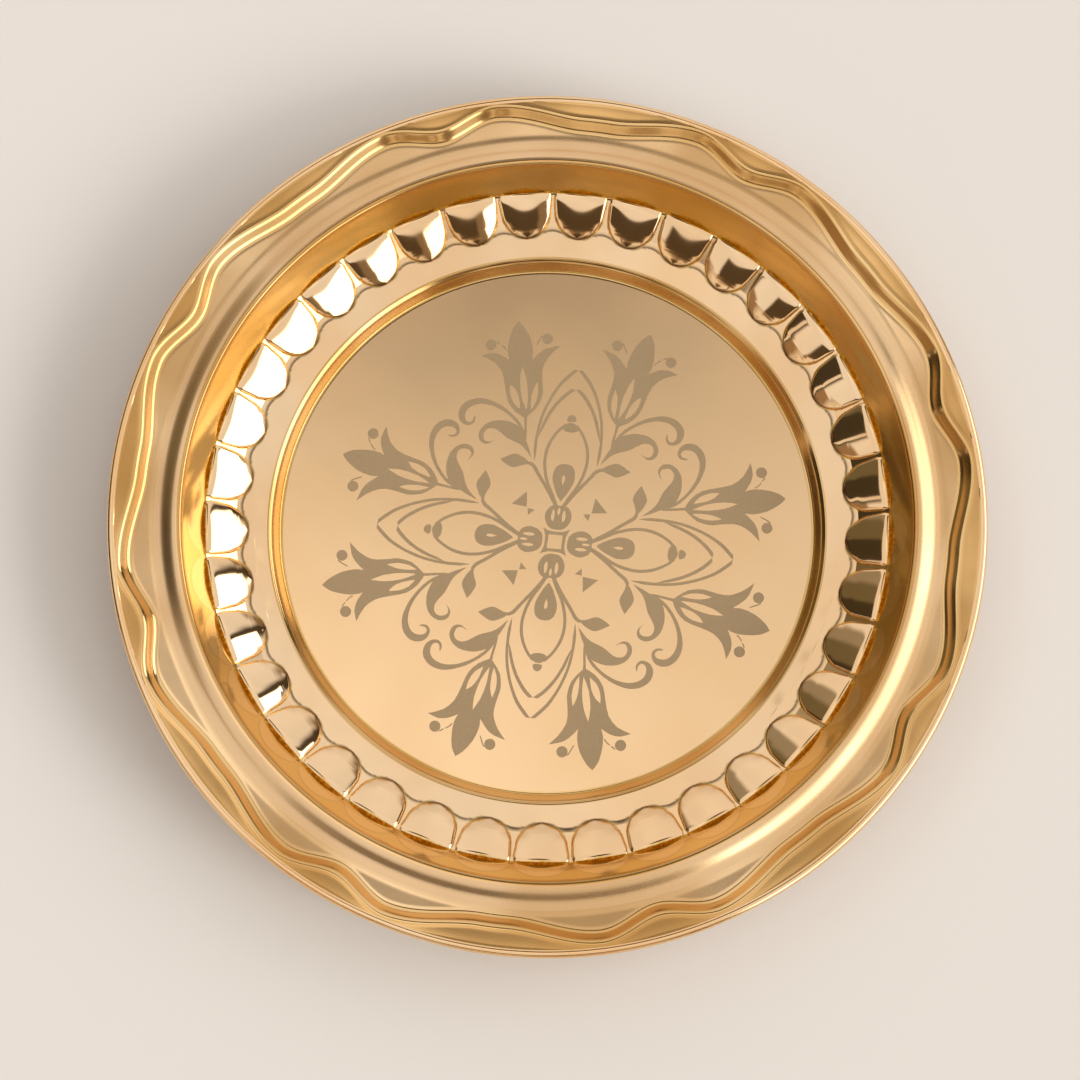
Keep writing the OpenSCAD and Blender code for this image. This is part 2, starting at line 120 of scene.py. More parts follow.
# Radius and height of the bends in the plain section
STATIONS = [(DISC_R, SHEET_T), (KNEE_R, KNEE_Z), (RING_TOP_R, RING_TOP_Z), (FOLD_R, FOLD_Z),
            (GROOVE_FOOT_R, GROOVE_FOOT_Z), (CREASE_R, CREASE_Z), (WALL_TOP_R, WALL_TOP_Z),
            (CREST_OUT_R, CREST_OUT_Z), (VALLEY_R, VALLEY_Z), (EDGE_R, VALLEY_Z + RIM_RISE)]

# Half width over which the bend at each radius is rounded
PAST_CREASE, PAST_VALLEY = 1.5, 5.0
BENDS = [(KNEE_R, 0.45), (FOLD_R, 0.4), (CREASE_R, 0.3), (CREASE_R + PAST_CREASE, 0.3), (WALL_TOP_R, 0.6),
         (CREST_OUT_R, 2.0), (VALLEY_R, 3.4), (VALLEY_R + PAST_VALLEY, 2.8)]
WAVE_BEND_SHARE = 0.13
BEND_SAMPLES = np.linspace(-1, 1, 15)
LEAST_SHARE = 1e-6


def lookup(x, pairs):
    return np.interp(x, *zip(*pairs))


def blend(x):
    """Smooth step from 0 to 1 while x goes from 0 to 1."""
    x = np.clip(x, 0, 1)
    return x * x * (3 - 2 * x)


def bell(x):
    """Soft bump that is 1 where x is 0."""
    return np.exp(-x ** 2)


def flute_place(turn):
    """Turn in degrees counted in flutes: a whole number at the middle of each one."""
    return (turn - FLUTE_TURN) * FLUTE_COUNT / 360


def across(turn):
    """Place across a flute: 0 at its middle and 1 halfway to the next one."""
    place = flute_place(turn)
    return 2 * np.abs(place - np.round(place))


def along(radius):
    """Place along a flute: 0 at its foot and 1 at the crease."""
    return (radius - FLUTE_FOOT_R) / (CREASE_R - FLUTE_FOOT_R)


def along_r(up):
    """Radius of a place along a flute."""
    return FLUTE_FOOT_R + up * (CREASE_R - FLUTE_FOOT_R)


def flute_width(up):
    """Half width of a flute as a share of half its pitch, at a place along it."""
    arch = np.clip((up - TIP_SHARE) / (ARCH_SHARE - TIP_SHARE), 0, 1)
    full = FULL_SHARE * (1 - TAPER_SHARE * (1 - up))
    full -= NARROW_SHARE * blend((up - NARROW_FROM_SHARE) / (1 - NARROW_FROM_SHARE))
    return np.power(1 - (1 - arch) ** 2, ARCH_POWER) * full


def flute(radius, turn):
    """Height of the flutes over the floor between them."""
    up = along(radius)
    inside = (up > TIP_SHARE) & (up < 1)
    up = np.clip(up, 0, 1)
    to_side = np.clip(across(turn) / np.maximum(flute_width(up), LEAST_SHARE), 0, 1)
    swell = 1 - (1 - up) ** 2
    swell *= np.power(1 - np.power(up, END_POWER), END_ROUND)
    slope = FLUTE_FOOT_Z + up * (CREASE_Z - FLUTE_FOOT_Z) - lookup(radius, STATIONS)
    side = 1 - CROWN_SHARE * to_side * to_side - (1 - CROWN_SHARE) * np.power(to_side, SIDE_POWER)
    return np.where(inside, (slope + FLUTE_BULGE * swell) * side, 0)


def wave_r(turn):
    """Radius of the foot of the wavy step."""
    place = (turn - WAVE_TURN) * WAVE_COUNT / 360
    off = np.abs(place - np.round(place))
    near = blend(off / WAVE_PEAK_SHARE)
    far = 1 - blend((off - WAVE_PEAK_SHARE) / (WAVE_WIDE_SHARE - WAVE_PEAK_SHARE))
    wave = np.where(off < WAVE_PEAK_SHARE, near, far)
    return WAVE_FOOT_R + WAVE_DEPTH * wave + WAVE_OFFSET * np.cos(np.radians(turn - WAVE_OFFSET_TURN))


def plain_z(radius):
    """Height of the section without flutes and wavy step, with rounded bends."""
    z = np.zeros_like(radius)
    half = lookup(radius, BENDS)
    for sample in BEND_SAMPLES:
        z += lookup(radius + sample * half, STATIONS)
    return z / len(BEND_SAMPLES)


def wave_step(share):
    """Share of the wavy step's height at a share of its width, rounded like the other bends."""
    z = np.zeros_like(share)
    for sample in BEND_SAMPLES:
        z += lookup(share + WAVE_BEND_SHARE * sample, WAVE_SECTION_SHARES)
    return z / len(BEND_SAMPLES)


def scallop(radius, turn):
    """Gentle waviness that the flutes leave in the plain band inside them."""
    grown = blend((radius - RING_TOP_R - SCALLOP_FROM) / SCALLOP_GROWS)
    faded = blend((radius - FLUTE_FOOT_R - SCALLOP_TO) / SCALLOP_FADES)
    return -SCALLOP_H * grown * (1 - faded) * np.cos(2 * np.pi * flute_place(turn))


def ring_lip(radius):
    """Fine raised line that the press leaves on top of the ring step."""
    return RING_LIP_H * bell((radius - RING_TOP_R - RING_LIP_OUT) / RING_LIP_HALF)


def top_z(radius, turn):
    """Height of the sheet's top side."""
    step = WAVE_STEP_H * wave_step((radius - wave_r(turn)) / WAVE_STEP_W)
    return plain_z(radius) + ring_lip(radius) + flute(radius, turn) + scallop(radius, turn) + step


def under_z(radius, turn):
    """Height of its underside, a sheet's thickness away square to the slope."""
    slope = (top_z(radius + SHEET_T / 2, turn) - top_z(radius - SHEET_T / 2, turn)) / SHEET_T
    return top_z(radius, turn) - SHEET_T * np.sqrt(1 + slope * slope)


# Columns of the sheet's mesh. Each flute has its own set, which follows the flute's edges
LOBE_STEPS = 18
GAP_STEPS = 6
COLUMNS = FLUTE_COUNT * (LOBE_STEPS + GAP_STEPS)
PLAIN_WIDTH = 0.75
LEAST_WIDTH, MOST_WIDTH = 0.14, 0.985

# How far the zones of the top side reach past the bends that they belong to, and where they meet:
# at these radii, or at shares of the wavy step's width from its foot
STEP_PAST_IN, STEP_PAST_OUT = 1.0, 0.8
CREST_PAST_IN, CREST_PAST_OUT = 0.9, 1.2
CREASE_PAST, VALLEY_PAST = 0.05, 1.0
STEP_FROM_R, STEP_TO_R = DISC_R - STEP_PAST_IN, RING_TOP_R + STEP_PAST_OUT
WALL_FROM_R = CREASE_R + CREASE_PAST
CREST_FROM_R, CREST_TO_R = WALL_TOP_R - CREST_PAST_IN, WALL_TOP_R + CREST_PAST_OUT
SLOPE_TO_R = VALLEY_R + VALLEY_PAST
WAVE_NEAR_SHARE, WAVE_FROM_SHARE, WAVE_TO_SHARE, WAVE_PAST_SHARE = -0.5, -0.15, 1.15, 1.6

# Where the wave nears the curled edge, its rows stay inside by this gap, and this far apart for a
# full width of the step
EDGE_GAP, ROW_GAP = 0.05, 0.01

# Rows of the mesh in each stretch of the section
CENTRE_ROWS_R = [25.0, 50.0, 70.0, 80.0, 85.0]
STEP_ROWS, BAND_ROWS, FLUTE_ROWS, WALL_ROWS, CREST_ROWS, SLOPE_ROWS = 36, 14, 52, 30, 12, 24
RIM_ROWS, WAVE_NEAR_ROWS, WAVE_ROWS, WAVE_PAST_ROWS, FLANGE_ROWS = 10, 6, 24, 6, 7
CURL_ROWS, HOLLOW_ROWS = 30, 14
FLUTE_ROW_POWER = 1.3
UNDER_WAVE_SHARES = [0.9, 0.5, 0.1]
UNDER_RIM_ROWS_R = [SLOPE_TO_R, VALLEY_R, CREST_OUT_R, WALL_TOP_R, CREASE_R]
UNDER_FLUTE_SHARES = [0.98, 0.85, 0.6, 0.35, 0.18, 0.08]
UNDER_FOOT_PAST = 0.5
UNDER_BAND_ROWS_R = [FLUTE_FOOT_R - UNDER_FOOT_PAST, RING_TOP_R]
BASE_ROWS_R = [UNDER_FOOT_R, 60.0]


def column_turns(width=PLAIN_WIDTH):
    """Turns in degrees of all columns, for flutes that take up the given share of their pitch."""
    lobe = width * np.sin(np.linspace(-np.pi / 2, np.pi / 2, LOBE_STEPS + 1))
    gap = np.linspace(width, 2 - width, GAP_STEPS + 1)[1:-1]
    one = np.concatenate([lobe, gap])
    pitch = 360 / FLUTE_COUNT
    starts = FLUTE_TURN + pitch * np.arange(FLUTE_COUNT)
    return (starts[:, None] + one[None, :] * pitch / 2).ravel()


def steps(start, stop, count):
    """Evenly spaced values from start up to stop, which is left for the next stretch."""
    return list(np.linspace(start, stop, count, endpoint=False))


def plan_row(radius, width=PLAIN_WIDTH, height=top_z):
    """Row at one radius: the turn, radius and height of its points."""
    turn = column_turns(width)
    radius = np.full_like(turn, radius)
    return turn, radius, height(radius, turn)


def plan_rows(start, stop, count):
    return [plan_row(radius) for radius in steps(start, stop, count)]


def flute_rows(shares, height):
    """Rows whose columns follow the outline of the flutes."""
    rows = []
    for up in shares:
        width = float(np.clip(flute_width(up), LEAST_WIDTH, MOST_WIDTH))
        rows.append(plan_row(along_r(up), width, height))
    return rows


def wave_rows(shares, height):
    """Rows that follow the wavy step, at shares of its width."""
    turn = column_turns()
    rows = []
    for share in shares:
        outmost = EDGE_R - EDGE_GAP - ROW_GAP * (WAVE_PAST_SHARE - share)
        radius = np.minimum(wave_r(turn) + share * WAVE_STEP_W, outmost)
        rows.append((turn, radius, height(radius, turn)))
    return rows


def ruled_rows(inner, outer, shares):
    """Rows of the top side at shares of the way from an inner to an outer line."""
    turn = column_turns()
    rows = []
    for share in shares:
        radius = inner + share * (outer - inner)
        rows.append((turn, radius, top_z(radius, turn)))
    return rows


def rim_rows():
    """Rows from the valley to the foot of the wavy step."""
    foot = wave_r(column_turns()) + WAVE_NEAR_SHARE * WAVE_STEP_W
    return ruled_rows(SLOPE_TO_R, foot, steps(0, 1, RIM_ROWS))


def flange_rows():
    """Rows from the top of the wavy step to the curled edge."""
    top = np.minimum(wave_r(column_turns()) + WAVE_PAST_SHARE * WAVE_STEP_W, EDGE_R - EDGE_GAP)
    return ruled_rows(top, EDGE_R, steps(0, 1, FLANGE_ROWS + 1)[1:])


def curl_rows(radius, start, stop, count):
    """Rows round the wire, from one angle of the curl's section to another."""
    turn = column_turns()
    rows = []
    for angle in np.radians(np.linspace(start, stop, count)):
        rows.append((turn, np.full_like(turn, CURL_AXIS_R + radius * math.cos(angle)),
                     np.full_like(turn, CURL_AXIS_Z + radius * math.sin(angle))))
    return rows


def base_row(radius):
    turn = column_turns()
    return turn, np.full_like(turn, radius), np.zeros_like(turn)


def sheet_rows():
    """All rows of the section, in order round it, and the zone that the band after each row is in."""
    rows, zones = [], []

    def add(zone, new):
        rows.extend(new)
        zones.extend([zone] * len(new))

    add("centre", [plan_row(radius) for radius in CENTRE_ROWS_R])
    add("step", plan_rows(STEP_FROM_R, STEP_TO_R, STEP_ROWS))
    add("band", plan_rows(STEP_TO_R, FLUTE_FOOT_R, BAND_ROWS))
    add("flutes", flute_rows(np.power(np.linspace(0, 1, FLUTE_ROWS), FLUTE_ROW_POWER), top_z))
    add("wall", plan_rows(WALL_FROM_R, CREST_FROM_R, WALL_ROWS))
    add("crest", plan_rows(CREST_FROM_R, CREST_TO_R, CREST_ROWS))
    add("slope", plan_rows(CREST_TO_R, SLOPE_TO_R, SLOPE_ROWS))
    add("rim", rim_rows())
    add("rim", wave_rows(steps(WAVE_NEAR_SHARE, WAVE_FROM_SHARE, WAVE_NEAR_ROWS), top_z))
    add("wave", wave_rows(steps(WAVE_FROM_SHARE, WAVE_TO_SHARE, WAVE_ROWS), top_z))
    add("flange", wave_rows(steps(WAVE_TO_SHARE, WAVE_PAST_SHARE, WAVE_PAST_ROWS), top_z))
    add("flange", flange_rows())
    add("curl", curl_rows(CURL_R, EDGE_ANGLE, LIP_ANGLE, CURL_ROWS))
    add("under", curl_rows(CURL_HOLLOW_R, LIP_ANGLE, TUCK_ANGLE, HOLLOW_ROWS))
    add("under", wave_rows(UNDER_WAVE_SHARES, under_z))
    add("under", [plan_row(radius, height=under_z) for radius in UNDER_RIM_ROWS_R])
    add("under", flute_rows(UNDER_FLUTE_SHARES, under_z))
    add("under", [plan_row(radius, height=under_z) for radius in UNDER_BAND_ROWS_R])
    add("under", [base_row(radius) for radius in BASE_ROWS_R])
    return rows, zones


# Brown residue in the grooves beside the flutes and at the foot of the ring step, and painted amber
# reflection in a crescent over each flute between two arched lines beyond the crease
GROOVE_STAIN_HALF = 0.014
CRESCENT_IN, CRESCENT_IN_ARCH, CRESCENT_IN_SOFT = -0.9, 0.8, 0.2
CRESCENT_OUT, CRESCENT_OUT_ARCH, CRESCENT_OUT_SOFT = 0.9, 0.9, 0.5
FOOT_STAIN, FOOT_STAIN_HALF = 0.7, 0.25

# Painted shade: dark lines along the wavy fold at the flutes' feet and inside the crest
FOLD_OUT, FOLD_WAVE, FOLD_SOFT_IN, FOLD_SOFT_OUT = 2.6, 1.1, 0.22, 0.6
CREST_PAINTED_SHADE, CREST_PAINTED_SHADE_OUT, CREST_PAINTED_SHADE_HALF = 0.5, 0.2, 0.2

# Painted reflection of the near flutes in the wall: paler arches over them, with a dark line round them
ARCH_RISE, ARCH_RISE_POWER = 4.6, 0.6
ARCH_LINE, ARCH_LINE_HALF = 0.32, 0.16
ARCH_IN, ARCH_IN_ARCH, ARCH_IN_SOFT, ARCH_OUT_SOFT = 1.0, 0.9, 0.4, 0.2
NEAR_SIDE, NEAR_SIDE_SWING = 0.6, 0.9


def arch_r(off):
    """Radius of the arch over a flute, at a place across it."""
    return CREASE_R + ARCH_RISE * np.power(np.clip(1 - off * off, 0, 1), ARCH_RISE_POWER)


def near_side(turn):
    """1 on the side of the plate that is nearest to the photo's camera, and 0 on the far side."""
    return blend(NEAR_SIDE - NEAR_SIDE_SWING * np.sin(np.radians(turn)))


def residue_and_reflection(turn, radius):
    """Share of brown residue, and of painted amber reflection in the crescents."""
    up = along(radius)
    off = across(turn)
    to_edge = np.abs(off - flute_width(np.clip(up, 0, 1)))
    groove = np.where((up > TIP_SHARE) & (up < 1), bell(to_edge / GROOVE_STAIN_HALF), 0)
    from_in = radius - (CREASE_R + CRESCENT_IN + CRESCENT_IN_ARCH * off * off)
    from_out = radius - CREASE_R - CRESCENT_OUT + CRESCENT_OUT_ARCH * off * off
    # The crescent is painted amber reflection
    crescent = blend(from_in / CRESCENT_IN_SOFT) * (1 - blend(from_out / CRESCENT_OUT_SOFT))
    foot = FOOT_STAIN * bell((radius - DISC_R) / FOOT_STAIN_HALF)
    return np.max([groove, crescent, foot], axis=0)


def shade(turn, radius):
    """Share of painted shade: dark lines along the fold, round the arches and inside the crest."""
    off = across(turn)
    past_fold = radius - (FLUTE_FOOT_R + FOLD_OUT - FOLD_WAVE * np.cos(np.pi * off))
    fold = bell(np.minimum(past_fold, 0) / FOLD_SOFT_IN) * bell(np.maximum(past_fold, 0) / FOLD_SOFT_OUT)
    line = np.where(radius > CREASE_R, ARCH_LINE * bell((radius - arch_r(off)) / ARCH_LINE_HALF), 0)
    crest = CREST_PAINTED_SHADE * bell((radius - WALL_TOP_R - CREST_PAINTED_SHADE_OUT) / CREST_PAINTED_SHADE_HALF)
    return np.max([fold, line * near_side(turn), crest], axis=0)


def painted_reflection(turn, radius):
    """Share of painted reflection: the near flutes mirrored as paler arches on the wall."""
    off = across(turn)
    from_in = radius - CREASE_R - ARCH_IN + ARCH_IN_ARCH * off * off
    inside = blend(from_in / ARCH_IN_SOFT) * (1 - blend((radius - arch_r(off)) / ARCH_OUT_SOFT))
    return np.where(radius > CREASE_R, inside, 0) * near_side(turn)


MARKS = {"residue_and_reflection": residue_and_reflection, "shade": shade, "painted_reflection": painted_reflection}
SHARP_ANGLE = 32.0


def sheet_mesh(zone_names):
    """Mesh of the whole sheet, with a material slot for each zone and the marks as point values."""
    rows, zones = sheet_rows()
    points = []
    for turn, radius, z in rows:
        angle = np.radians(turn)
        points.append(np.stack([radius * np.cos(angle), radius * np.sin(angle), z], axis=1))
    top_middle = len(rows) * COLUMNS
    points.append(np.array([[0, 0, SHEET_T], [0, 0, 0]]))
    vertices = np.concatenate(points) * MM
    here = np.arange(COLUMNS)
    after = (here + 1) % COLUMNS
    faces = [np.stack([here, after, np.full_like(here, top_middle)], axis=1)]
    slots = [np.full(COLUMNS, zone_names.index("centre"))]
    for k in range(len(rows) - 1):
        inner, outer = k * COLUMNS, (k + 1) * COLUMNS
        faces.append(np.stack([inner + here, outer + here, outer + after, inner + after], axis=1))
        slots.append(np.full(COLUMNS, zone_names.index(zones[k])))
    last = (len(rows) - 1) * COLUMNS
    faces.append(np.stack([last + after, last + here, np.full_like(here, top_middle + 1)], axis=1))
    slots.append(np.full(COLUMNS, zone_names.index("under")))
    mesh = bpy.data.meshes.new("plate_sheet_fine")
    mesh.from_pydata(vertices.tolist(), [], [face for part in faces for face in part.tolist()])
    mesh.polygons.foreach_set("material_index", np.concatenate(slots).astype(np.int32))
    upper = [float(zone != "under") for zone in zones]
    for name, share in MARKS.items():
        values = [top * share(turn, radius) for top, (turn, radius, z) in zip(upper, rows)]
        values = np.concatenate(values + [np.zeros(2)])
        mesh.attributes.new(name, "FLOAT", "POINT").data.foreach_set("value", values.astype(np.float32))
    mesh.validate()
    mesh.shade_smooth()
    mesh.set_sharp_from_angle(angle=math.radians(SHARP_ANGLE))
    return mesh


class Nodes:
    """Short way to write a node tree."""

    def __init__(self, tree):
        self.tree = tree
        tree.nodes.clear()

    def add(self, kind, **values):
        node = self.tree.nodes.new(kind)
        for name, value in values.items():
            setattr(node, name, value)
        return node

    def link(self, source, target):
        """Links a socket to the target, or sets the target to a number."""
        if isinstance(source, (int, float)):
            target.default_value = source
        else:
            self.tree.links.new(source, target)

    def math(self, operation, *inputs):
        node = self.add("ShaderNodeMath", operation=operation)
        for socket, value in zip(node.inputs, inputs):
            self.link(value, socket)
        return node.outputs[0]

    def plus(self, a, b):
        return self.math("ADD", a, b)

    def times(self, a, b):
        return self.math("MULTIPLY", a, b)

    def length(self, x, y):
        return self.math("SQRT", self.plus(self.times(x, x), self.times(y, y)))

    def ramp(self, value, low, high, to_low=0.0, to_high=1.0):
        node = self.add("ShaderNodeMapRange", interpolation_type="SMOOTHSTEP")
        sockets = {"Value": value, "From Min": low, "From Max": high, "To Min": to_low, "To Max": to_high}
        for name, source in sockets.items():
            self.link(source, node.inputs[name])
        return node.outputs["Result"]

    def between(self, value, low, high, soft):
        """1 between low and high, and 0 outside them."""
        rise = self.ramp(value, low - soft, low + soft)
        return self.times(rise, self.ramp(value, high - soft, high + soft, 1.0, 0.0))

    def mix(self, factor, a, b):
        node = self.add("ShaderNodeMix", data_type="RGBA")
        self.link(factor, node.inputs["Factor"])
        for value, socket in ((a, node.inputs[6]), (b, node.inputs[7])):
            if isinstance(value, tuple):
                socket.default_value = (*value, 1)
            else:
                self.tree.links.new(value, socket)
        return node.outputs[2]

    def noise(self, vector, scale, detail, roughness):
        node = self.add("ShaderNodeTexNoise")
        self.tree.links.new(vector, node.inputs["Vector"])
        node.inputs["Scale"].default_value = scale
        node.inputs["Detail"].default_value = detail
        node.inputs["Roughness"].default_value = roughness
        return node.outputs["Fac"]

    def combine(self, x, y, z):
        node = self.add("ShaderNodeCombineXYZ")
        for socket, value in zip(node.inputs, (x, y, z)):
            self.link(value, socket)
        return node.outputs[0]

    def split(self, vector):
        node = self.add("ShaderNodeSeparateXYZ")
        self.tree.links.new(vector, node.inputs[0])
        return node.outputs

    def attribute(self, name):
        return self.add("ShaderNodeAttribute", attribute_name=name).outputs["Fac"]

    def bump(self, height, strength, distance, normal=None):
        node = self.add("ShaderNodeBump")
        self.tree.links.new(height, node.inputs["Height"])
        node.inputs["Strength"].default_value = strength
        node.inputs["Distance"].default_value = distance
        if normal is not None:
            self.tree.links.new(normal, node.inputs["Normal"])
        return node.outputs[0]


def start_material(name):
    material = bpy.data.materials.new(name)
    material.use_nodes = True
    nodes = Nodes(material.node_tree)
    shader = nodes.add("ShaderNodeBsdfPrincipled")
    output = nodes.add("ShaderNodeOutputMaterial")
    material.node_tree.links.new(shader.outputs[0], output.inputs[0])
    place = nodes.add("ShaderNodeTexCoord").outputs["Object"]
    return material, nodes, shader, place


BRASS_LIGHT = (0.93, 0.67, 0.39)
BRASS_DEEP = (0.90, 0.59, 0.30)
DISC_DEEP = (0.92, 0.645, 0.36)
STEP_LIGHT = (0.78, 0.54, 0.26)
STEP_DEEP = (0.62, 0.38, 0.14)
BAND_LIGHT = (0.93, 0.70, 0.44)
BAND_DEEP = (0.90, 0.63, 0.36)
# The wall's, crest's, wave's and flange's deeper, more golden colours are painted reflection; the mix of
# each zone's lighter and deeper colour is the brass's own tone
WALL_LIGHT = (0.84, 0.59, 0.25)
WALL_DEEP = (0.73, 0.48, 0.15)
CREST_LIGHT = (0.80, 0.50, 0.20)
CREST_DEEP = (0.66, 0.38, 0.12)
SLOPE_LIGHT = (0.86, 0.61, 0.35)
SLOPE_DEEP = (0.74, 0.49, 0.25)
RIM_LIGHT = (0.90, 0.65, 0.37)
RIM_DEEP = (0.66, 0.42, 0.19)
WAVE_LIGHT = (0.88, 0.61, 0.29)
WAVE_DEEP = (0.72, 0.45, 0.17)
FLANGE_LIGHT = (0.80, 0.51, 0.21)
FLANGE_DEEP = (0.60, 0.34, 0.11)
AMBER = (0.66, 0.40, 0.045)
# Colour of the painted shade
PAINTED_SHADE_COLOUR = (0.14, 0.09, 0.04)

# Roughness, its spread, depth of the turned lines and of the sheet's slight waviness in millimetres,
# and the lighter and the deeper colour, for each zone of the sheet
FINISHES = {
    "centre": (0.24, 0.03, 0.0012, 0.03, BRASS_LIGHT, DISC_DEEP),
    "step": (0.10, 0.05, 0.0012, 0.01, STEP_LIGHT, STEP_DEEP),
    "band": (0.08, 0.04, 0.0008, 0.03, BAND_LIGHT, BAND_DEEP),
    "flutes": (0.05, 0.03, 0.0004, 0.01, BAND_LIGHT, BAND_DEEP),
    "wall": (0.07, 0.03, 0.0008, 0.01, WALL_LIGHT, WALL_DEEP),
    "crest": (0.14, 0.06, 0.006, 0.01, CREST_LIGHT, CREST_DEEP),
    "slope": (0.22, 0.06, 0.005, 0.02, SLOPE_LIGHT, SLOPE_DEEP),
    "rim": (0.22, 0.1, 0.003, 0.15, RIM_LIGHT, RIM_DEEP),
    "wave": (0.12, 0.06, 0.002, 0.02, WAVE_LIGHT, WAVE_DEEP),
    "flange": (0.20, 0.1, 0.003, 0.15, FLANGE_LIGHT, FLANGE_DEEP),
    "curl": (0.12, 0.06, 0.001, 0.01, BRASS_LIGHT, BRASS_DEEP),
    "under": (0.24, 0.08, 0.002, 0.02, BRASS_LIGHT, BRASS_DEEP),
}

# Patterns in brass as scale, detail and roughness of a noise, and how strongly the marks show
BRASS_LINES, BRASS_LINES_TURN = (3.0, 4.0, 0.7), 6.0
BRASS_CLOUD = (28.0, 1.0, 0.4)
BRASS_SPECK, SPECK_LEAST = (900.0, 3.0, 0.6), 0.35
BRASS_WAVY = (60.0, 1.0, 0.4)
PAINTED_REFLECTION_STRENGTH, SHADE_STRENGTH, RESIDUE_AND_REFLECTION_ROUGH = 0.45, 0.95, 0.2


def brass(name, rough, rough_spread, line_depth, wavy_depth, light, deep):
    """Polished or satin brass with fine turned lines, and with the marks of the sheet."""
    material, nodes, shader, place = start_material(name)
    x, y, _ = nodes.split(place)
    radius = nodes.times(nodes.length(x, y), 1 / MM)
    turn = nodes.times(nodes.math("ARCTAN2", y, x), BRASS_LINES_TURN)
    lines = nodes.noise(nodes.combine(radius, turn, 0.0), *BRASS_LINES)
    cloud = nodes.ramp(nodes.noise(place, *BRASS_CLOUD), 0.3, 0.7)
    speck = nodes.ramp(nodes.noise(place, *BRASS_SPECK), 0.35, 0.6, SPECK_LEAST, 1.0)
    # Brown residue, and painted amber reflection in the crescents over the flutes
    residue_and_reflection_share = nodes.times(nodes.attribute("residue_and_reflection"), speck)
    # Painted reflection of the near flutes makes the arches on the wall paler
    reflected_share = nodes.times(nodes.attribute("painted_reflection"), PAINTED_REFLECTION_STRENGTH)
    # Painted shade darkens the fold, the arches' lines and the crest's inner edge
    darker = nodes.times(nodes.attribute("shade"), SHADE_STRENGTH)
    tone = nodes.mix(reflected_share, nodes.mix(cloud, light, deep), BRASS_LIGHT)
    tone = nodes.mix(darker, nodes.mix(residue_and_reflection_share, tone, AMBER), PAINTED_SHADE_COLOUR)
    nodes.link(tone, shader.inputs["Base Color"])
    shader.inputs["Metallic"].default_value = 1.0
    wear = nodes.plus(nodes.times(cloud, rough_spread), rough - rough_spread / 2)
    wear = nodes.plus(wear, nodes.times(residue_and_reflection_share, RESIDUE_AND_REFLECTION_ROUGH))
    nodes.link(nodes.plus(wear, nodes.times(lines, rough_spread)), shader.inputs["Roughness"])
    wavy = nodes.bump(nodes.noise(place, *BRASS_WAVY), 1.0, wavy_depth * MM)
    nodes.link(nodes.bump(lines, 1.0, line_depth * MM, wavy), shader.inputs["Normal"])
    return material


ETCH_DARK = (0.26, 0.19, 0.105)
ETCH_LIGHT = (0.52, 0.38, 0.22)
ETCH_EVEN = (0.44, 0.32, 0.19)
ETCH_GRAIN = (2600.0, 2.0, 0.6)
ETCH_CLOUD, ETCH_CLOUD_STRENGTH = (60.0, 2.0, 0.5), 0.5
ETCH_METAL, ETCH_ROUGH, ETCH_ROUGH_SPREAD = 0.55, 0.5, 0.2
ETCH_BUMP, ETCH_DEPTH = 0.6, 0.03


def etched(name):
    """Matt grained brass of the etched ornament."""
    material, nodes, shader, place = start_material(name)
    grain = nodes.noise(place, *ETCH_GRAIN)
    cloud = nodes.times(nodes.noise(place, *ETCH_CLOUD), ETCH_CLOUD_STRENGTH)
    tone = nodes.mix(cloud, nodes.mix(grain, ETCH_DARK, ETCH_LIGHT), ETCH_EVEN)
    nodes.link(tone, shader.inputs["Base Color"])
    shader.inputs["Metallic"].default_value = ETCH_METAL
    nodes.link(nodes.plus(nodes.times(grain, ETCH_ROUGH_SPREAD), ETCH_ROUGH), shader.inputs["Roughness"])
    nodes.link(nodes.bump(grain, ETCH_BUMP, ETCH_DEPTH * MM), shader.inputs["Normal"])
    return material


WIRE_DARK = (0.45, 0.43, 0.40)
WIRE_LIGHT = (0.62, 0.60, 0.56)
WIRE_GRAIN = (900.0, 2.0, 0.5)
WIRE_ROUGH, WIRE_ROUGH_SPREAD = 0.3, 0.15
WIRE_BUMP, WIRE_DEPTH = 0.3, 0.02


def plain_wire(name):
    """Drawn steel of the core wire."""
    material, nodes, shader, place = start_material(name)
    grain = nodes.noise(place, *WIRE_GRAIN)
    nodes.link(nodes.mix(grain, WIRE_DARK, WIRE_LIGHT), shader.inputs["Base Color"])
    shader.inputs["Metallic"].default_value = 1.0
    nodes.link(nodes.plus(nodes.times(grain, WIRE_ROUGH_SPREAD), WIRE_ROUGH), shader.inputs["Roughness"])
    nodes.link(nodes.bump(grain, WIRE_BUMP, WIRE_DEPTH * MM), shader.inputs["Normal"])
    return material


def make_sheet():
    mesh = sheet_mesh(list(FINISHES))
    for zone, finish in FINISHES.items():
        mesh.materials.append(brass("brass_" + zone, *finish))
    piece = bpy.data.objects.new("plate_sheet_fine", mesh)
    bpy.context.collection.objects.link(piece)
    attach(piece, "root")
    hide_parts("plate_sheet")


def dress(node, material):
    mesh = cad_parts[node].data
    mesh.materials.clear()
    mesh.materials.append(material)


def dress_nodes():
    etched_brass = etched("etched_brass_grain")
    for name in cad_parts:
        if name.startswith("etched_"):
            dress(name, etched_brass)
    dress("rim_wire", plain_wire("wire_steel"))


# The floor, in metres, lies just under the plate
FLOOR_HALF = 6.0
FLOOR_DROP = 0.0001
FLOOR_COLOUR = (0.72, 0.70, 0.67)
FLOOR_ROUGH, FLOOR_SPECULAR = 0.9, 0.2


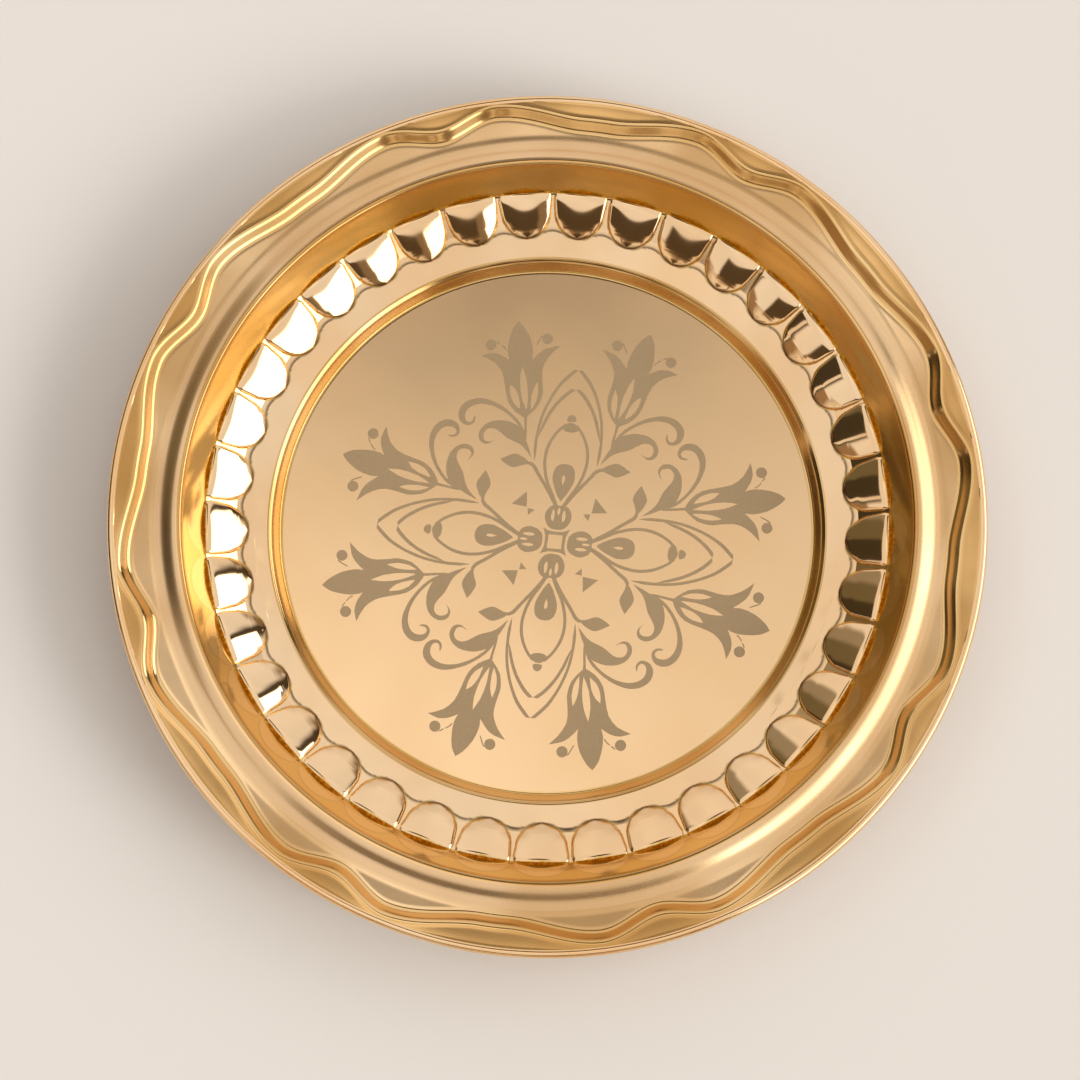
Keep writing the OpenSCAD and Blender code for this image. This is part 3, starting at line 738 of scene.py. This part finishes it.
def make_floor():
    mesh = bpy.data.meshes.new("floor")
    corners = [(x * FLOOR_HALF, y * FLOOR_HALF, 0) for x, y in ((-1, -1), (1, -1), (1, 1), (-1, 1))]
    mesh.from_pydata(corners, [], [(0, 1, 2, 3)])
    floor = bpy.data.objects.new("floor", mesh)
    floor.location.z = -FLOOR_DROP
    bpy.context.collection.objects.link(floor)
    material, _, shader, _ = start_material("floor_paper")
    shader.inputs["Base Color"].default_value = (*FLOOR_COLOUR, 1)
    shader.inputs["Roughness"].default_value = FLOOR_ROUGH
    shader.inputs["Specular IOR Level"].default_value = FLOOR_SPECULAR
    mesh.materials.append(material)


# Colours of the studio that the brass mirrors: pale paper, a white light box, and dark gaps
PAPER = (0.92, 0.85, 0.80)
PAPER_LOW = (0.72, 0.60, 0.50)
BOX_WHITE = (3.0, 2.9, 2.75)
BOX_GAP = (0.07, 0.05, 0.03)
BOX_SIDE = (0.26, 0.18, 0.11)
NEAR_FLOOR = (0.34, 0.21, 0.11)
NEAR_DARK = (0.09, 0.06, 0.032)
NEAR_PALE = (0.90, 0.76, 0.60)
LEFT_GREY = (0.34, 0.29, 0.22)
LEFT_OLIVE = (0.17, 0.14, 0.075)
LEFT_DARK = (0.06, 0.045, 0.025)
STREAK = (0.90, 0.76, 0.62)
BEHIND = (0.10, 0.07, 0.035)

# What stands round the plate, each laid over the ones before. Turns are in degrees about the
# vertical, counted from the left or from the right, and heights are the upward share of a direction.
# Both are given as from, to and softness
DOWN = -1.0
LAYERS = [
    ("left", (11.0, 123.0, 1.5), (DOWN, 0.685, 0.01), NEAR_FLOOR),
    ("left", (20.0, 123.0, 6.0), (0.51, 0.685, 0.01), NEAR_DARK),
    ("left", (30.0, 123.0, 8.0), (0.2, 0.49, 0.015), NEAR_PALE),
    ("left", (-50.0, 11.0, 2.5), (DOWN, 0.66, 0.02), LEFT_GREY),
    ("left", (-36.0, 11.0, 3.0), (DOWN, 0.66, 0.02), LEFT_OLIVE),
    ("left", (-17.0, 11.0, 2.0), (DOWN, 0.66, 0.02), LEFT_DARK),
    ("left", (5.5, 9.0, 0.4), (0.15, 0.66, 0.02), STREAK),
    ("left", (12.0, 40.0, 2.0), (0.5, 0.72, 0.03), PAPER),
    ("right", (26.0, 50.0, 6.0), (DOWN, 0.24, 0.06), BOX_SIDE),
    ("right", (24.0, 38.0, 4.0), (DOWN, 0.45, 0.06), BOX_GAP),
    ("right", (29.0, 36.0, 2.0), (DOWN, 0.67, 0.015), BOX_GAP),
    ("right", (-69.0, -57.0, 2.5), (DOWN, 0.69, 0.02), BOX_SIDE),
    ("right", (-58.0, 31.0, 0.8), (0.3, 0.68, 0.01), BOX_WHITE),
]
BLOTCHY = [NEAR_PALE]
BLOTCHES, BLOTCH_FROM, BLOTCH_TO = (9.0, 1.0, 0.4), 0.38, 0.42

# The paper darkens towards the floor below this height, and is a little uneven all over
PAPER_HEIGHT = 0.3
PAPER_CLOUD, PAPER_DIM, PAPER_BRIGHT = (2.2, 2.0, 0.5), 0.93, 1.07

# Overhead the paper glows a little in front and is dimmer behind: centre, and radii of the change
GLOW_X, GLOW_Y, GLOW_FROM, GLOW_TO, GLOW_STRENGTH = -0.10, 0.13, 0.05, 0.22, 0.55
DIM_X, DIM_Y, DIM_FROM, DIM_TO, DIM_SQUASH = -0.03, 0.42, 0.12, 0.22, 0.8


def make_world():
    world = bpy.data.worlds.new("studio")
    bpy.context.scene.world = world
    world.use_nodes = True
    nodes = Nodes(world.node_tree)
    direction = nodes.add("ShaderNodeTexCoord").outputs["Generated"]
    x, y, z = nodes.split(direction)
    to_degrees = 180 / math.pi
    back_x, back_y = nodes.times(x, -1.0), nodes.times(y, -1.0)
    turns = {"right": nodes.times(nodes.math("ARCTAN2", y, x), to_degrees),
             "left": nodes.times(nodes.math("ARCTAN2", back_y, back_x), to_degrees)}
    blotches = nodes.ramp(nodes.noise(direction, *BLOTCHES), BLOTCH_FROM, BLOTCH_TO)
    sky = nodes.mix(nodes.ramp(z, 0.0, PAPER_HEIGHT), PAPER_LOW, PAPER)
    for side, turn_limits, height_limits, colour in LAYERS:
        share = nodes.times(nodes.between(turns[side], *turn_limits), nodes.between(z, *height_limits))
        if colour in BLOTCHY:
            share = nodes.times(share, blotches)
        sky = nodes.mix(share, sky, colour)
    glow = nodes.length(nodes.plus(x, -GLOW_X), nodes.plus(y, -GLOW_Y))
    glow = nodes.ramp(glow, GLOW_FROM, GLOW_TO, GLOW_STRENGTH, 0.0)
    dim = nodes.length(nodes.plus(x, -DIM_X), nodes.times(nodes.plus(y, -DIM_Y), DIM_SQUASH))
    sky = nodes.mix(nodes.ramp(dim, DIM_FROM, DIM_TO, 1.0, 0.0), sky, BEHIND)
    cloud = nodes.ramp(nodes.noise(direction, *PAPER_CLOUD), 0.2, 0.8, PAPER_DIM, PAPER_BRIGHT)
    strength = nodes.times(nodes.plus(glow, 1.0), cloud)
    background = nodes.add("ShaderNodeBackground")
    nodes.link(strength, background.inputs["Strength"])
    nodes.link(sky, background.inputs["Color"])
    output = nodes.add("ShaderNodeOutputWorld")
    nodes.link(background.outputs[0], output.inputs[0])


# The photo's camera, in millimetres from the plate's middle, and its focal length in the photo's pixels
CAMERA_DISTANCE = 780.0
CAMERA_TILT = 11.277
CAMERA_TARGET = (-2.323, -4.063)
SENSOR_MM = 36.0
IMAGE_PX = 1080
FOCAL_PX = 2377.185


def make_camera():
    data = bpy.data.cameras.new("camera")
    data.sensor_width = SENSOR_MM
    data.lens = SENSOR_MM * FOCAL_PX / IMAGE_PX
    camera = bpy.data.objects.new("camera", data)
    bpy.context.collection.objects.link(camera)
    tilt = math.radians(CAMERA_TILT)
    camera.location = (CAMERA_TARGET[0] * MM,
                       (CAMERA_TARGET[1] - CAMERA_DISTANCE * math.sin(tilt)) * MM,
                       CAMERA_DISTANCE * math.cos(tilt) * MM)
    camera.rotation_euler = (tilt, 0, 0)
    bpy.context.scene.camera = camera


# A soft key light from the right and the near side. Its angle is how wide it looks from the plate
KEY_ANGLE = 23.0
KEY_STRENGTH = 1.2
KEY_COLOUR = (1.0, 0.97, 0.93)
KEY_PLACE = (1.35, -0.69, 0.77)


def make_light():
    lamp = bpy.data.lights.new("key", "SUN")
    lamp.angle = math.radians(KEY_ANGLE)
    lamp.energy = KEY_STRENGTH
    lamp.color = KEY_COLOUR
    key = bpy.data.objects.new("key", lamp)
    key.location = KEY_PLACE
    key.visible_glossy = False
    key.rotation_euler = (-key.location).to_track_quat("-Z", "Y").to_euler()
    bpy.context.collection.objects.link(key)


make_camera()
make_world()
make_light()
make_floor()
make_sheet()
dress_nodes()

bpy.context.scene.view_settings.view_transform = "Standard"
